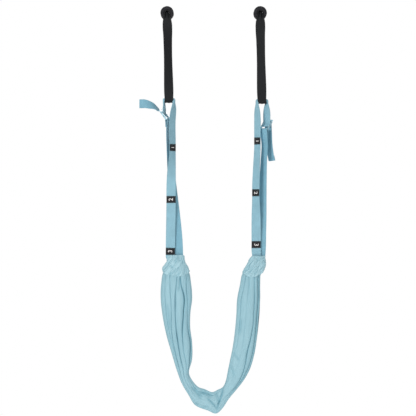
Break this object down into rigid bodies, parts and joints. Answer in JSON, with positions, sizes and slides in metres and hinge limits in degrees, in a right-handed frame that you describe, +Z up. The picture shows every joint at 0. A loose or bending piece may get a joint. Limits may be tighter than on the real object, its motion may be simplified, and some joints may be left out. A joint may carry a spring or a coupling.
{
  "type": "door-hung stretch sling",
  "caption": "Stretching sling for a door: a gathered cloth U hangs from webbing loops with ladder buckles, each in a black strap threaded through a foam door anchor.",
  "frame": {"origin": "midway between the two anchor rollers, on their axes", "axes": "+X along the door to the user's right, +Y through the door away from the user, +Z up"},
  "size_m": [0.5568, 0.08, 1.6708],
  "materials": {
    "foam": "speckled closed-cell foam",
    "core": "moulded tube",
    "door_webbing": "tight nylon weave",
    "sling_webbing": "ribbed webbing, light blue",
    "buckle": "moulded, slightly translucent",
    "label": "woven tab with a pale numeral",
    "sling_cloth": "smooth tricot cloth, gathered"
  },
  "bodies": {
    "anchors": {"left_anchor_roller": "foam", "left_anchor_core": "core", "right_anchor_roller": "foam", "right_anchor_core": "core"},
    "left_strap": {"left_door_strap": "door_webbing", "left_strap_overlap": "door_webbing"},
    "left_link": {"left_crown": "sling_webbing"},
    "left_legs": {"left_front_leg": "sling_webbing", "left_rear_leg": "sling_webbing"},
    "left_loop": {"left_buckle": "buckle", "left_buckle_lip": "buckle", "left_sewn_end": "sling_webbing", "left_front_webbing": "sling_webbing", "left_rear_webbing": "sling_webbing", "left_hem_roll": "sling_webbing", "left_label_1": "label", "left_label_2": "label", "left_label_3": "label"},
    "left_tail": {"left_tail": "sling_webbing", "left_tail_fold": "sling_webbing"},
    "sling": {"left_gathered_hem": "sling_cloth", "sling_cloth": "sling_cloth", "right_gathered_hem": "sling_cloth"},
    "right_strap": {"right_door_strap": "door_webbing", "right_strap_overlap": "door_webbing"},
    "right_link": {"right_crown": "sling_webbing"},
    "right_legs": {"right_front_leg": "sling_webbing", "right_rear_leg": "sling_webbing"},
    "right_loop": {"right_buckle": "buckle", "right_buckle_lip": "buckle", "right_sewn_end": "sling_webbing", "right_front_webbing": "sling_webbing", "right_rear_webbing": "sling_webbing", "right_hem_roll": "sling_webbing", "right_label_1": "label", "right_label_2": "label", "right_label_3": "label"},
    "right_tail": {"right_tail": "sling_webbing", "right_tail_fold": "sling_webbing"}
  },
  "joints": [
    {"name": "left_sway", "type": "hinge", "parent": "anchors", "child": "left_strap", "pos_m": [-0.19, 0, 0], "axis": [0, 1, 0], "range_deg": [-18, 18]},
    {"name": "left_level", "type": "hinge", "parent": "left_strap", "child": "left_link", "pos_m": [-0.1825, 0, -0.3626], "axis": [0, 1, 0], "range_deg": [-18, 18]},
    {"name": "left_swing", "type": "hinge", "parent": "left_link", "child": "left_legs", "pos_m": [-0.1825, 0, -0.3626], "axis": [1, 0, 0], "range_deg": [-50, 50]},
    {"name": "left_length", "type": "slide", "parent": "left_legs", "child": "left_loop", "axis": [0, 0, 1], "range_m": [-0.05, 0]},
    {"name": "left_tail_flap", "type": "hinge", "parent": "left_loop", "child": "left_tail", "pos_m": [-0.20719, 0.00178, -0.40515], "axis": [0.342, 0.9397, 0], "range_deg": [-30, 10]},
    {"name": "right_sway", "type": "hinge", "parent": "anchors", "child": "right_strap", "pos_m": [0.19, 0, 0], "axis": [0, 1, 0], "range_deg": [-18, 18]},
    {"name": "right_level", "type": "hinge", "parent": "right_strap", "child": "right_link", "pos_m": [0.1975, 0, -0.3626], "axis": [0, 1, 0], "range_deg": [-18, 18]},
    {"name": "right_swing", "type": "hinge", "parent": "right_link", "child": "right_legs", "pos_m": [0.1975, 0, -0.3626], "axis": [1, 0, 0], "range_deg": [-50, 50]},
    {"name": "right_length", "type": "slide", "parent": "right_legs", "child": "right_loop", "axis": [0, 0, 1], "range_m": [-0.05, 0]},
    {"name": "right_tail_flap", "type": "hinge", "parent": "right_loop", "child": "right_tail", "pos_m": [0.22098, 0.00368, -0.44635], "axis": [0.7071, -0.7071, 0], "range_deg": [0, 60]},
    {"name": "sling_tilt", "type": "hinge", "parent": "left_loop", "child": "sling", "pos_m": [-0.159, 0, -1.0325], "axis": [1, 0, 0], "range_deg": [-12, 12]}
  ],
  "couplings": [
    {"joint": "right_sway", "follows": "left_sway", "ratio": 1},
    {"joint": "left_level", "follows": "left_sway", "ratio": -1},
    {"joint": "right_level", "follows": "left_sway", "ratio": -1},
    {"joint": "right_swing", "follows": "left_swing", "ratio": 1},
    {"joint": "right_length", "follows": "left_length", "ratio": 1}
  ]
}
